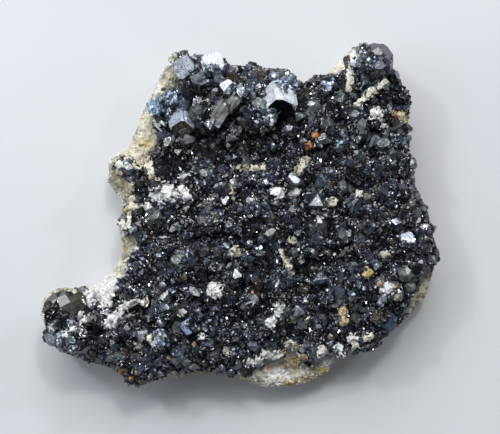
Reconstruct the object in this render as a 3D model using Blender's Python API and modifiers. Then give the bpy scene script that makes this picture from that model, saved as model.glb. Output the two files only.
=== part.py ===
"""A hand-sized plate of sphalerite with galena on pale rock, lying on its sawn back.

The crystals face up (+Z) and the plate's top edge points to +Y. The origin is under the middle
of the plate, on the sawn face. Heights and radii are in metres; the outlines, which are drawn
from the front, are in millimetres and are scaled by MM.
"""

import math
import random

import bmesh
import bpy
import numpy as np
from mathutils import Euler, Matrix, Vector, noise
from mathutils.bvhtree import BVHTree

MM = 0.001

# Driving dimensions
ROCK_TOP = 14.5 * MM
CRUST_TOP = 19.5 * MM
ROCK_WALL = (4.5 * MM, 9.0 * MM)
ROCK_SHOULDER = 7.0 * MM
CRUST_FOOT = 9.5 * MM
CRUST_SHOULDER = 6.5 * MM
CRUST_STEP = 5.0 * MM
SAW_ALLOWANCE = 1.5 * MM

# Gaps between pieces that touch: the crust on the rock, the crystals' roots, the galena
SEAT_GAP = 0.4 * MM
ROOT_GAP = 0.6 * MM
MOST_CORNER_STRETCH = 1.8

# The crust's crystals: spacing and radius, and how far they stand out as a share of it
CRYSTAL_SPACING = 6.0 * MM
CRYSTAL_LIFT = (0.05, 0.5)
CRYSTAL_RADIUS = (3.1 * MM, 4.3 * MM)
COARSE_RADIUS = (4.0 * MM, 5.2 * MM)
ROOM_AROUND_GALENA = 2.6 * MM
PLACES_TRIED = 9000
SEED = 11

# The crystals along the crust's edge; distances in millimetres, as in the outlines
RIM_SPACING = 6.0
RIM_SETBACK = 2.9
RIM_STEP = 0.5
RIM_WIDTH = 5.3
RIM_RADIUS = (3.4 * MM, 4.4 * MM)
RIM_LIFT = (6.0 * MM, 7.8 * MM)
BLADE_LIFT = 1.8 * MM

# How much of the front's swells the rock under the crust follows
ROCK_SHARE = 0.8
ROCK_SETBACK = 1.8

# How finely the rough surfaces are worked before they are thinned to flat facets
VOXEL = 1.7 * MM
ROCK_TRIANGLES = 1500
CRUST_TRIANGLES = 600

# The plate's outer line in millimetres, clockwise from its top left corner
TOP_LINE = [
    (-18.7, 44.3), (-13.3, 44.2), (-11.5, 43.5), (-8.3, 44.2), (-5.9, 44.1), (-2.5, 41.3),
    (5.0, 41.4), (8.1, 40.7), (12.9, 40.6), (14.7, 39.3), (16.5, 36.1), (17.7, 35.3),
    (18.7, 37.3), (20.5, 39.0), (23.7, 38.9),
]
PEAK_LINE = [
    (25.7, 41.5), (28.3, 42.5), (29.3, 44.5), (33.3, 48.1),
]
RIGHT_LINE = [
    (36.5, 47.9), (38.5, 46.5), (40.5, 43.7), (42.3, 41.3), (42.7, 38.5), (44.9, 35.7),
    (47.3, 32.1), (46.9, 28.9), (45.9, 26.9), (46.9, 24.9), (46.5, 17.7), (47.9, 13.7),
    (48.1, 8.5), (49.6, 5.7), (51.3, 2.0), (53.1, -4.9), (53.5, -8.0), (54.8, -9.5),
    (55.2, -12.1),
]
LOWER_RIGHT_LINE = [
    (54.0, -14.4), (52.9, -17.5), (51.7, -22.5), (49.8, -24.8), (47.5, -27.2), (45.0, -28.6),
    (42.9, -31.2),
]
LOWER_EDGE_LINE = [(40.7, -32.4), (36.5, -36.6), (32.2, -37.7), (29.0, -39.2)]
FOOT_LINE = [
    (24.1, -43.5), (20.0, -45.2), (15.9, -46.6), (12.8, -48.1), (8.0, -48.0), (5.5, -46.6),
    (-1.1, -45.1), (-3.2, -44.2), (-7.0, -43.8), (-11.5, -44.2), (-16.7, -45.1),
    (-22.9, -45.0),
]
LOBE_LINE = [
    (-25.6, -46.0), (-28.7, -46.6), (-30.6, -45.8), (-32.9, -43.5), (-35.3, -41.6),
    (-40.9, -39.8), (-46.2, -38.5), (-48.5, -36.8), (-51.2, -36.2), (-52.7, -34.9),
    (-55.0, -33.5), (-54.1, -32.2), (-52.6, -31.0), (-53.7, -28.9), (-54.4, -26.3),
    (-53.7, -24.0), (-52.0, -22.1), (-49.7, -20.7), (-47.0, -20.3), (-42.8, -19.4),
]
LEFT_LINE = [
    (-40.9, -20.2), (-39.0, -18.6), (-37.1, -16.3), (-34.8, -14.4), (-32.9, -12.9),
    (-32.7, -8.0), (-33.9, -4.5), (-33.9, -1.4), (-32.7, 1.2), (-33.8, 5.8), (-34.0, 8.5),
    (-35.3, 8.1), (-36.7, 9.6), (-36.4, 13.0), (-34.8, 16.3), (-33.0, 17.4), (-30.2, 18.2),
    (-30.4, 20.7), (-28.9, 23.6), (-28.0, 27.5), (-26.2, 30.7), (-24.0, 33.5),
    (-24.5, 34.7), (-23.6, 37.2), (-21.8, 39.6), (-19.7, 42.5),
]

# Where the crust stops short of the outer line and bare rock shows, in millimetres
PEAK_RIM = [(24.6, 38.6), (27.6, 39.1), (29.8, 39.4), (30.4, 42.1), (31.3, 44.6), (32.6, 46.5)]
LOWER_RIGHT_RIM = [
    (53.4, -13.9), (51.6, -14.8), (50.5, -17.2), (49.1, -19.1), (48.0, -21.6), (46.4, -25.4),
    (44.5, -28.6), (42.7, -31.0),
]
FOOT_RIM = [
    (28.4, -37.0), (23.3, -37.4), (21.4, -39.3), (21.6, -41.4), (18.9, -42.0), (17.0, -40.9),
    (15.9, -37.9), (15.1, -35.5), (12.1, -35.7), (11.0, -38.2), (8.6, -39.0), (6.1, -39.8),
    (4.8, -42.3), (3.1, -44.4), (-0.1, -43.9), (-4.2, -42.8), (-9.7, -42.3), (-15.1, -43.1),
    (-21.9, -44.2),
]
LEFT_RIM = [
    (-41.5, -20.5), (-40.4, -22.9), (-37.2, -24.0), (-34.2, -22.7), (-34.4, -19.1),
    (-31.2, -16.1), (-30.6, -12.3), (-29.0, -9.3), (-28.2, -6.6), (-29.8, -4.4),
    (-31.7, -3.9), (-32.8, -1.4), (-31.7, 1.3), (-29.8, 2.9), (-30.9, 5.1), (-30.6, 8.7),
    (-31.7, 11.1), (-34.7, 11.9), (-34.4, 13.8), (-32.3, 15.5), (-28.5, 15.5),
    (-25.7, 16.0), (-23.6, 17.6), (-22.7, 20.9), (-23.0, 24.7), (-24.6, 26.6),
    (-24.9, 29.9), (-23.6, 32.6), (-20.6, 33.2), (-18.7, 34.3), (-16.7, 34.5),
    (-16.5, 37.3), (-15.9, 39.4), (-17.6, 40.5), (-19.0, 42.2),
]

# Swells and hollows of the front: centre x, y, reach across, reach along, height, in millimetres
RELIEF = [
    (-7.0, 37.0, 15.0, 7.0, 3.2),
    (11.0, 33.0, 8.0, 6.5, 3.0),
    (-7.0, 20.0, 14.0, 6.0, -3.4),
    (17.0, 21.0, 9.0, 6.0, -2.0),
    (35.0, 42.0, 8.0, 7.0, 2.4),
    (42.0, 20.5, 5.5, 5.5, -3.0),
    (8.0, -8.0, 24.0, 14.0, 1.6),
    (44.0, -11.0, 9.0, 12.0, 1.2),
    (-21.5, -34.5, 8.0, 7.0, 2.8),
    (-48.0, -27.0, 8.0, 7.0, 1.0),
    (12.0, -43.0, 10.0, 6.0, -2.6),
    (-13.5, 35.6, 3.6, 2.6, -3.0),
    (-7.2, 33.2, 2.6, 2.6, -2.2),
    (10.6, 27.6, 3.4, 2.4, -2.4),
]
ROUGHNESS_SCALE = 130.0
ROUGHNESS = 1.1 * MM

# Where the crystals grew large: centre x, y and reach, in millimetres
COARSE_PLACES = [(-14.0, 34.0, 15.0), (-49.0, -28.0, 9.0), (-22.0, -31.0, 8.0), (35.5, 41.0, 7.0)]

# Long striped crystals: place x, y, length and width in millimetres, bearing and dip in degrees
BLADES = [
    ((-5.6, 28.0), 10.5, 3.6, 56, 12),
    ((-1.8, 32.4), 7.5, 3.0, 52, 20),
    ((-31.4, 13.6), 6.0, 3.0, 12, 8),
    ((6.0, 27.4), 7.5, 4.0, 96, 10),
]

# The crust's two largest crystals: place x, y in millimetres, radius, turns in degrees
LARGE_CRYSTALS = [
    ((-49.2, -25.6), 5.4, (20, 35, 10)),
    ((36.2, 41.6), 4.8, (15, 40, 50)),
]
LARGE_LIFT = 0.6 * MM

# The single galena crystals: place x, y in millimetres, radius, cut of the corners, lift, turns
GALENA = {
    "galena_top": ((10.4, 31.2), 5.2, 0.16, 0.25, (135, -41, -82)),
    "galena_top_left": ((-14.6, 40.0), 3.9, 0.26, 0.10, (-18, -8, 40)),
    "galena_top_middle": ((-7.2, 40.6), 4.0, 0.22, 0.10, (-22, 4, 12)),
    "galena_stepped": ((-3.4, 34.6), 2.4, 0.20, 0.25, (-16, 12, 30)),
    "galena_left_cube": ((-22.8, 29.6), 2.7, 0.12, 0.35, (-8, -20, 20)),
    "galena_lower_cube": ((-15.8, 25.4), 3.5, 0.10, 0.35, (127, -45, -86)),
    "galena_inner": ((-18.2, 31.8), 2.6, 0.18, 0.35, (-20, -14, 20)),
    "galena_blue": ((23.4, 34.6), 2.4, 0.16, 0.40, (-14, 12, 62)),
    "galena_peak": ((32.6, 42.4), 3.0, 0.30, 0.30, (-12, -18, 10)),
    "galena_centre": ((20.5, -3.4), 3.2, 0.30, 0.35, (14, 18, 15)),
    "galena_mound": ((-21.3, -33.4), 3.4, 0.20, 0.35, (-20, -6, 40)),
    "galena_striped": ((-14.0, -30.3), 2.7, 0.14, 0.40, (-12, 16, 34)),
    "galena_right": ((45.2, -6.6), 2.5, 0.24, 0.35, (-20, 10, 12)),
    "galena_lower_right": ((40.6, -28.2), 3.0, 0.22, 0.25, (-10, -12, 65)),
    "galena_lobe": ((-51.0, -33.2), 2.3, 0.22, 0.25, (-12, -10, 28)),
}


def crust_outline():
    """The crust's edge: the plate's outer line, or the rim where bare rock shows."""
    return (
        TOP_LINE + PEAK_RIM + RIGHT_LINE + LOWER_RIGHT_RIM + LOWER_EDGE_LINE
        + FOOT_RIM + LOBE_LINE + LEFT_RIM
    )


def inset(line, distance):
    """An open line moved to its right-hand side, which is inwards on a clockwise outline."""
    moved = []
    for index, (x, y) in enumerate(line):
        before = line[max(index - 1, 0)]
        after = line[min(index + 1, len(line) - 1)]
        along = Vector((after[0] - before[0], after[1] - before[1])).normalized()
        moved.append((x + along.y * distance, y - along.x * distance))
    return moved


def rock_outline():
    """The rock's edge: set back under the crust, and out to the outer line where it is bare."""
    return (
        inset(TOP_LINE, ROCK_SETBACK) + PEAK_LINE + inset(RIGHT_LINE, ROCK_SETBACK)
        + LOWER_RIGHT_LINE + inset(LOWER_EDGE_LINE, ROCK_SETBACK) + FOOT_LINE
        + inset(LOBE_LINE, ROCK_SETBACK) + LEFT_LINE
    )


def relief(x, y):
    """Height in metres that the swells and hollows add at a place of the front."""
    total = 0.0
    for centre_x, centre_y, across, along, height in RELIEF:
        u = (x / MM - centre_x) / across
        v = (y / MM - centre_y) / along
        total += height * MM * math.exp(-u * u - v * v)
    return total


def roughness(x, y, z, layer):
    """A broken surface's unevenness, as a length; each layer has its own."""
    place = Vector((x, y, z)) * ROUGHNESS_SCALE + Vector((0, 0, layer))
    return noise.fractal(place, 0.9, 2.1, 3) * ROUGHNESS


def clear_scene():
    for old in list(bpy.data.objects):
        bpy.data.objects.remove(old, do_unlink=True)


def new_collection(name):
    collection = bpy.data.collections.new(name)
    bpy.context.scene.collection.children.link(collection)
    return collection


def material(name, colour, rough, metallic):
    made = bpy.data.materials.new(name)
    made.use_nodes = True
    shader = made.node_tree.nodes["Principled BSDF"]
    shader.inputs["Base Color"].default_value = (*colour, 1)
    shader.inputs["Roughness"].default_value = rough
    shader.inputs["Metallic"].default_value = metallic
    made.diffuse_color = (*colour, 1)
    return made


def evaluated_mesh(obj):
    """The object's mesh with its modifiers applied, as data of its own."""
    bpy.context.view_layer.update()
    graph = bpy.context.evaluated_depsgraph_get()
    return bpy.data.meshes.new_from_object(obj.evaluated_get(graph))


def apply_modifiers(obj):
    """Replaces the object's mesh by its evaluated one."""
    mesh = evaluated_mesh(obj)
    obj.modifiers.clear()
    obj.data = mesh


def outline_prism(name, outline, low, high, collection):
    """A closed prism over an outline in millimetres, between two heights."""
    curve = bpy.data.curves.new(name + "_line", "CURVE")
    curve.dimensions = "2D"
    curve.fill_mode = "BOTH"
    curve.extrude = (high - low) / 2
    spline = curve.splines.new("POLY")
    spline.points.add(len(outline) - 1)
    for point, (x, y) in zip(spline.points, outline):
        point.co = (x * MM, y * MM, 0, 1)
    spline.use_cyclic_u = True
    holder = bpy.data.objects.new(name + "_line", curve)
    collection.objects.link(holder)
    mesh = evaluated_mesh(holder)
    mesh.transform(Matrix.Translation((0, 0, (low + high) / 2)))
    bpy.data.objects.remove(holder)
    shape = bmesh.new()
    shape.from_mesh(mesh)
    bmesh.ops.remove_doubles(shape, verts=shape.verts, dist=0.01 * MM)
    bmesh.ops.recalc_face_normals(shape, faces=shape.faces)
    shape.to_mesh(mesh)
    shape.free()
    prism = bpy.data.objects.new(name, mesh)
    collection.objects.link(prism)
    return prism


def even_mesh(obj):
    """Turns the object's faces into an even net of small ones."""
    remesh = obj.modifiers.new("even_net", "REMESH")
    remesh.mode = "VOXEL"
    remesh.voxel_size = VOXEL
    apply_modifiers(obj)


def thin_to_facets(obj, triangles):
    """Thins the net until flat facets are left, as on broken rock."""
    faces = sum(len(face.vertices) - 2 for face in obj.data.polygons)
    decimate = obj.modifiers.new("facets", "DECIMATE")
    decimate.ratio = triangles / faces
    decimate.use_collapse_triangulate = True
    apply_modifiers(obj)


def edge_distance(places, outline):
    """How far each place, an array of x and y, lies from an outline in millimetres."""
    start = np.array(outline) * MM
    span = np.roll(start, -1, axis=0) - start
    reach = places[:, None, :] - start[None]
    share = (reach * span).sum(2) / (span * span).sum(1)
    nearest = reach - np.clip(share, 0, 1)[..., None] * span
    return np.sqrt((nearest * nearest).sum(2).min(1))


def rounded(distance, shoulder):
    """From 0 at the edge to 1 at the shoulder, along a quarter of an ellipse."""
    share = min(distance / shoulder, 1.0)
    return math.sqrt(1 - (1 - share) ** 2)


def shape_vertices(obj, outline, low, high, new_height):
    """Gives every vertex the height new_height(x, y, edge distance, share of thickness)."""
    places = np.array([vertex.co for vertex in obj.data.vertices])
    distances = edge_distance(places[:, :2], outline)
    for vertex, distance in zip(obj.data.vertices, distances):
        share = min(max((vertex.co.z - low) / (high - low), 0.0), 1.0)
        x, y = vertex.co.x, vertex.co.y
        vertex.co.z = new_height(x, y, distance, share)


def push_out(obj, layer):
    """Breaks up the walls by moving each vertex along its normal."""
    normals = [vertex.normal.copy() for vertex in obj.data.vertices]
    for vertex, normal in zip(obj.data.vertices, normals):
        normal.z *= 0.5
        vertex.co += normal * roughness(*vertex.co, layer)


def saw_back(obj):
    """Cuts everything below the resting plane away and closes the cut with one flat face."""
    shape = bmesh.new()
    shape.from_mesh(obj.data)
    cut = bmesh.ops.bisect_plane(
        shape,
        geom=shape.verts[:] + shape.edges[:] + shape.faces[:],
        plane_co=(0, 0, 0),
        plane_no=(0, 0, -1),
        clear_outer=True,
    )
    rim = [item for item in cut["geom_cut"] if isinstance(item, bmesh.types.BMEdge)]
    bmesh.ops.holes_fill(shape, edges=rim, sides=0)
    bmesh.ops.recalc_face_normals(shape, faces=shape.faces)
    shape.to_mesh(obj.data)
    shape.free()


def make_matrix(collection, finish):
    """The pale rock: a slab with a broken, rounded edge, an uneven front and a sawn back."""
    outline = rock_outline()
    low, high = 0.0, ROCK_TOP
    rock = outline_prism("matrix", outline, low, high, collection)
    even_mesh(rock)

    def height(x, y, distance, share):
        turn = rounded(distance, ROCK_SHOULDER)
        top = ROCK_TOP + ROCK_SHARE * relief(x, y) + roughness(x, y, 0, 3)
        back = ROCK_WALL[0] + (-SAW_ALLOWANCE - ROCK_WALL[0]) * turn
        front = ROCK_WALL[1] + (top - ROCK_WALL[1]) * turn
        return back + (front - back) * share

    shape_vertices(rock, outline, low, high, height)
    push_out(rock, 7)
    thin_to_facets(rock, ROCK_TRIANGLES)
    saw_back(rock)
    rock.data.materials.append(finish)
    return rock


def make_crust_blank(collection):
    """The crust before its crystals are added: a slab that wraps over the rock's edge."""
    outline = crust_outline()
    low, high = CRUST_FOOT, CRUST_TOP
    blank = outline_prism("sphalerite_crust", outline, low, high, collection)
    even_mesh(blank)

    def height(x, y, distance, share):
        turn = rounded(distance, CRUST_SHOULDER)
        top = CRUST_TOP + relief(x, y) + roughness(x, y, 0, 5)
        foot = CRUST_FOOT + roughness(x, y, 0, 9) + roughness(x, y, 0, 13)
        front = top - CRUST_STEP * (1 - turn)
        return foot + (front - foot) * share

    shape_vertices(blank, outline, low, high, height)
    thin_to_facets(blank, CRUST_TRIANGLES)
    return blank


def hull_object(name, points, collection):
    """A convex body over some points."""
    shape = bmesh.new()
    for point in points:
        shape.verts.new(point)
    hull = bmesh.ops.convex_hull(shape, input=shape.verts)
    inner = {item for item in hull["geom_interior"] if isinstance(item, bmesh.types.BMVert)}
    bmesh.ops.delete(shape, geom=list(inner), context="VERTS")
    bmesh.ops.recalc_face_normals(shape, faces=shape.faces)
    mesh = bpy.data.meshes.new(name)
    shape.to_mesh(mesh)
    shape.free()
    body = bpy.data.objects.new(name, mesh)
    collection.objects.link(body)
    return body


def tetrahedral_points(radius, truncation):
    """Corners of a tetrahedron whose four tips are cut off, the usual form of sphalerite."""
    tips = [Vector(tip) for tip in ((1, 1, 1), (1, -1, -1), (-1, 1, -1), (-1, -1, 1))]
    scale = radius / math.sqrt(3)
    return [
        (tip.lerp(other, truncation)) * scale
        for tip in tips
        for other in tips
        if other is not tip
    ]


def dodecahedral_points(radius):
    """Corners of a rhombic dodecahedron, sphalerite's rounder form."""
    cube = [Vector((x, y, z)) for x in (-1, 1) for y in (-1, 1) for z in (-1, 1)]
    axes = [Vector((2, 0, 0)), Vector((0, 2, 0)), Vector((0, 0, 2))]
    corners = cube + axes + [-axis for axis in axes]
    return [corner * radius / 2 for corner in corners]


def clear_of_galena(place):
    """Whether a place leaves the single galena crystals standing free."""
    return all(
        (place - Vector(spot) * MM).length > ROOM_AROUND_GALENA + size * MM / 2
        for spot, size, *_ in GALENA.values()
    )


def drop_onto(surface, place):
    """Where a line straight down meets the surface, and the surface's normal there."""
    hit, normal, _, _ = surface.ray_cast(Vector((*place, 1)), Vector((0, 0, -1)))
    return hit, normal


def front_places(chance, surface):
    """Places over the crust that keep their distance from each other and from its edge."""
    outline = crust_outline()
    kept = []
    for _ in range(PLACES_TRIED):
        place = Vector((chance.uniform(-56, 56), chance.uniform(-49, 49))) * MM
        hit, normal = drop_onto(surface, place)
        if hit is None or edge_distance(np.array([place]), outline)[0] < RIM_WIDTH * MM:
            continue
        if not clear_of_galena(place):
            continue
        if any((place - spot.xy).length < CRYSTAL_SPACING for spot, _ in kept):
            continue
        kept.append((hit, normal))
    return kept


def rim_places(chance):
    """Places along the crust's edge, just inside it and near the top of its wall."""
    line = [Vector(point) for point in crust_outline()]
    line = [Vector(point) for point in inset(line + line[:1], RIM_SETBACK)]
    kept = []
    walked = 0.0
    for start, end in zip(line, line[1:]):
        steps = max(int((end - start).length / RIM_STEP), 1)
        for step in range(steps):
            walked += (end - start).length / steps
            if walked < RIM_SPACING:
                continue
            walked = 0.0
            place = start.lerp(end, step / steps) * MM
            kept.append(Vector((*place, CRUST_FOOT + chance.uniform(*RIM_LIFT))))
    return kept


def sphalerite_points(chance, radius, index):
    if index % 3:
        return tetrahedral_points(radius * 1.2, chance.uniform(0.17, 0.3))
    return dodecahedral_points(radius)


def coarse(place):
    return any(
        (place.xy / MM - Vector((x, y))).length < reach for x, y, reach in COARSE_PLACES
    )


def grow(name, points, turns, place, collection, deep_seat):
    """One crystal of the crust, turned, set in place and ended above the rock."""
    crystal = hull_object(name, points, collection)
    crystal.data.transform(turns.to_matrix().to_4x4())
    crystal.data.transform(Matrix.Translation(place))
    combine(crystal, "DIFFERENCE", deep_seat)


def any_turn(chance):
    return Euler([chance.uniform(0, math.tau) for _ in range(3)])


def make_sphalerite_crystals(blank, collection, deep_seat):
    """The crust's larger crystals, each turned its own way and standing out above its waist."""
    chance = random.Random(SEED)
    surface = BVHTree.FromObject(blank, bpy.context.evaluated_depsgraph_get())
    for index, (place, normal) in enumerate(front_places(chance, surface)):
        radius = chance.uniform(*(COARSE_RADIUS if coarse(place) else CRYSTAL_RADIUS))
        points = sphalerite_points(chance, radius, index)
        turns = any_turn(chance)
        place = place + normal * radius * chance.uniform(*CRYSTAL_LIFT)
        grow(f"crystal_{index}", points, turns, place, collection, deep_seat)
    for index, place in enumerate(rim_places(chance)):
        points = sphalerite_points(chance, chance.uniform(*RIM_RADIUS), index)
        turns = any_turn(chance)
        grow(f"rim_crystal_{index}", points, turns, place, collection, deep_seat)
    for index, ((x, y), size, turns) in enumerate(LARGE_CRYSTALS):
        hit, _ = drop_onto(surface, (x * MM, y * MM))
        turns = Euler([math.radians(turn) for turn in turns])
        place = hit + Vector((0, 0, LARGE_LIFT))
        points = dodecahedral_points(size * MM)
        grow(f"large_crystal_{index}", points, turns, place, collection, deep_seat)
    for index, ((x, y), length, width, bearing, dip) in enumerate(BLADES):
        hit, _ = drop_onto(surface, (x * MM, y * MM))
        points = blade_points(length * MM, width * MM)
        turns = Euler((0, math.radians(-dip), math.radians(bearing)))
        place = hit + Vector((0, 0, BLADE_LIFT))
        grow(f"blade_{index}", points, turns, place, collection, deep_seat)


def blade_points(length, width):
    """Corners of a long crystal with roof-shaped ends."""
    half, side, deep = length / 2, width / 2, width * 0.8
    body = [
        Vector((x, y, z))
        for x in (-half * 0.72, half * 0.72)
        for y in (-side, side)
        for z in (-deep, deep * 0.7)
    ]
    ends = [Vector((x, 0, z)) for x in (-half, half) for z in (-deep, deep * 0.45)]
    return body + ends


def galena_body(name, radius, cut, turns, place, collection):
    """A cube whose corners are cut off, which is how galena grows."""
    shape = bmesh.new()
    bmesh.ops.create_cube(shape, size=2 * radius / math.sqrt(2))
    bmesh.ops.bevel(
        shape, geom=shape.verts[:], offset=cut * radius, segments=1, affect="VERTICES"
    )
    mesh = bpy.data.meshes.new(name)
    shape.to_mesh(mesh)
    shape.free()
    mesh.transform(Euler([math.radians(turn) for turn in turns]).to_matrix().to_4x4())
    mesh.transform(Matrix.Translation(place))
    body = bpy.data.objects.new(name, mesh)
    collection.objects.link(body)
    return body


def make_galena(blank, parts, cutters, finish):
    """The single galena crystals, and for each the socket that it grew in."""
    surface = BVHTree.FromObject(blank, bpy.context.evaluated_depsgraph_get())
    for name, ((x, y), size, cut, lift, turns) in GALENA.items():
        hit, _ = drop_onto(surface, (x * MM, y * MM))
        radius = size * MM
        place = Vector((x * MM, y * MM, hit.z + lift * radius))
        body = galena_body(name, radius, cut, turns, place, parts)
        body.data.materials.append(finish)
        wide = radius + SEAT_GAP * math.sqrt(2)
        socket = galena_body("socket_" + name, wide, cut, turns, place, cutters)
        hide_cutter(socket)


def hide_cutter(obj):
    obj.hide_render = True
    obj.display_type = "WIRE"


def combine(obj, operation, collection):
    """Joins a collection of closed bodies to the object, or cuts them from it."""
    boolean = obj.modifiers.new(operation.lower(), "BOOLEAN")
    boolean.operation = operation
    boolean.solver = "EXACT"
    boolean.operand_type = "COLLECTION"
    boolean.collection = collection
    apply_modifiers(obj)


def seat_cutter(obj, gap, collection):
    """A copy of the object whose faces stand out from its own by a gap."""
    mesh = obj.data.copy()
    shape = bmesh.new()
    shape.from_mesh(mesh)
    shape.normal_update()
    normals = [vertex.normal.copy() for vertex in shape.verts]
    stretches = [vertex.calc_shell_factor() for vertex in shape.verts]
    for vertex, normal, stretch in zip(shape.verts, normals, stretches):
        vertex.co += normal * gap * min(stretch, MOST_CORNER_STRETCH)
    shape.to_mesh(mesh)
    shape.free()
    copy = bpy.data.objects.new(obj.name + "_seat", mesh)
    collection.objects.link(copy)
    hide_cutter(copy)


def centre_over_origin(parts):
    """Moves every part alike, so that the plate's box stands centred on the origin."""
    corners = [vertex.co for part in parts.objects for vertex in part.data.vertices]
    low_x, high_x = min(co.x for co in corners), max(co.x for co in corners)
    low_y, high_y = min(co.y for co in corners), max(co.y for co in corners)
    shift = Matrix.Translation((-(low_x + high_x) / 2, -(low_y + high_y) / 2, 0))
    for part in parts.objects:
        part.data.transform(shift)


def main():
    clear_scene()
    parts = new_collection("sphalerite_with_galena")
    crystals = new_collection("crystals")
    seat = new_collection("rock_seat")
    deep_seat = new_collection("rock_deep_seat")
    sockets = new_collection("sockets")
    rock_finish = material("pale_rock", (0.66, 0.60, 0.48), 0.85, 0.0)
    crust_finish = material("sphalerite", (0.035, 0.035, 0.04), 0.2, 0.35)
    galena_finish = material("galena", (0.47, 0.50, 0.56), 0.25, 1.0)

    rock = make_matrix(parts, rock_finish)
    seat_cutter(rock, SEAT_GAP, seat)
    seat_cutter(rock, ROOT_GAP, deep_seat)
    crust = make_crust_blank(parts)
    make_sphalerite_crystals(crust, crystals, deep_seat)
    make_galena(crust, parts, sockets, galena_finish)
    combine(crust, "DIFFERENCE", seat)
    combine(crust, "UNION", crystals)
    combine(crust, "DIFFERENCE", sockets)
    combine(rock, "DIFFERENCE", sockets)
    crust.data.materials.clear()
    crust.data.materials.append(crust_finish)
    for crystal in list(crystals.objects):
        bpy.data.objects.remove(crystal)
    centre_over_origin(parts)


main()
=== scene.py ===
import math

import bmesh
import bpy
import numpy as np
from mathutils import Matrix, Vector, noise
from mathutils.bvhtree import BVHTree


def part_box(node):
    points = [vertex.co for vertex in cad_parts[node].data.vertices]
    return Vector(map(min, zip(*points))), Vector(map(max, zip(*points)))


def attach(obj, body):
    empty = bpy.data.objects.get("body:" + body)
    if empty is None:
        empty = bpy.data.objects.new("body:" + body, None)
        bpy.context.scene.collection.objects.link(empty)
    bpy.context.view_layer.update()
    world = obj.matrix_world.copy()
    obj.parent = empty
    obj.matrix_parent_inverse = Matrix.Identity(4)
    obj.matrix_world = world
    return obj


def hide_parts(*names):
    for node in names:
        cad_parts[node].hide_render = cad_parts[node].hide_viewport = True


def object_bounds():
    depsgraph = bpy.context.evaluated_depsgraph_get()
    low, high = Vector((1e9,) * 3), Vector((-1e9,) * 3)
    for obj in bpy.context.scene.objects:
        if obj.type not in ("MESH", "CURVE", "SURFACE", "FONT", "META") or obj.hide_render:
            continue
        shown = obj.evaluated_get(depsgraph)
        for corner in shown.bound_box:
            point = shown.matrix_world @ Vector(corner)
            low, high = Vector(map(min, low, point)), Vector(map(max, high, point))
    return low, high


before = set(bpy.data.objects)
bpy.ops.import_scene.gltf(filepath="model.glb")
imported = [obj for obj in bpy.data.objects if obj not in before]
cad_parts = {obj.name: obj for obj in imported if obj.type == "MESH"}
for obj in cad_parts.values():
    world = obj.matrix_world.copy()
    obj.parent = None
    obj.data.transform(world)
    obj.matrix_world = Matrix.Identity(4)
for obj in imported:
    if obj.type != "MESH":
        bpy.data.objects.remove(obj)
cad_low, cad_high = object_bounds()


# The rock: pale, sugary carbonate with a little quartz that the ore minerals grew on. It broke
# from the wall of a vein, and shows as a crumbly cream band down the left side, at the foot and
# on two short stretches of rim. Places are (x, y) in millimetres, with +y at the top edge.
MM = 0.001
ROCK_NET = 0.6 * MM
ROCK_KNOBS = (1.7 * MM, 0.60 * MM)
ROCK_GRAIN = (0.6 * MM, 0.18 * MM)
KNOB_LEVEL = 0.45
RESTING_BAND = 0.2 * MM
FULL_RELIEF = 1.5 * MM
NOISE_MIDDLE = (0.35, 0.65)
# Stained and bleached places on the rock, each ((x, y), reach); at the foot the bleached white is also
# painted light, lifting the slope out of its shade.
ROCK_MARKS = {
    "bleached_and_painted_light": [
        ((-38.0, -19.5), 6.5), ((9.0, -43.5), 7.5), ((2.0, -41.5), 3.0), ((27.0, -37.5), 5.0),
        ((-25.5, 41.0), 3.0), ((31.0, 42.0), 4.0), ((-24.5, 36.0), 3.0),
    ],
    "golden": [
        ((-28.0, 20.0), 2.4), ((-27.0, 9.5), 2.0), ((14.8, -40.5), 2.4), ((-31.5, 2.0), 0.8),
        ((13.0, -47.0), 1.5), ((16.0, -46.0), 1.8), ((19.5, -44.6), 1.8), ((22.8, -43.0), 1.8),
        ((-32.5, -9.0), 0.9), ((-22.0, 31.5), 1.8), ((48.0, -18.5), 2.0), ((-33.0, -42.0), 2.5),
        ((34.2, -15.2), 1.6), ((43.5, 27.5), 2.2), ((7.5, -42.0), 1.0), ((11.0, -41.0), 1.0),
    ],
    "brown": [
        ((-27.5, 11.0), 1.6), ((17.5, -46.8), 1.3), ((-31.5, -42.8), 2.0), ((21.0, -45.0), 1.2),
        ((-34.0, 12.0), 1.4), ((-31.0, -5.5), 1.3), ((-29.0, 24.0), 1.2), ((5.0, -45.0), 1.0),
        ((-33.5, -14.5), 1.0), ((50.5, -24.0), 3.0), ((46.0, -29.5), 2.5),
    ],
}


def node_copy(name, new_name):
    """A mesh object of its own with a CAD node's shape."""
    copy = bpy.data.objects.new(new_name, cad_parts[name].data.copy())
    bpy.context.scene.collection.objects.link(copy)
    return copy


def recast(obj, net):
    """Makes an object's skin anew, as one even net of small faces."""
    remesh = obj.modifiers.new("remesh", "REMESH")
    remesh.mode = "VOXEL"
    remesh.voxel_size = net
    graph = bpy.context.evaluated_depsgraph_get()
    mesh = bpy.data.meshes.new_from_object(obj.evaluated_get(graph))
    obj.modifiers.clear()
    obj.data = mesh


def new_finish(name):
    """A new material with its shader, and the nodes and links to build on."""
    made = bpy.data.materials.new(name)
    made.use_nodes = True
    tree = made.node_tree
    return made, tree.nodes, tree.links, tree.nodes["Principled BSDF"]


def noise_node(nodes, scale, detail, roughness=0.6):
    """A cloudy pattern; scale is in patches per metre."""
    made = nodes.new("ShaderNodeTexNoise")
    made.inputs["Scale"].default_value = scale
    made.inputs["Detail"].default_value = detail
    made.inputs["Roughness"].default_value = roughness
    return made


def object_space(nodes, links, *textures):
    """Fixes patterns to the specimen, in metres."""
    place = nodes.new("ShaderNodeTexCoord")
    for texture in textures:
        links.new(place.outputs["Object"], texture.inputs["Vector"])


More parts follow.
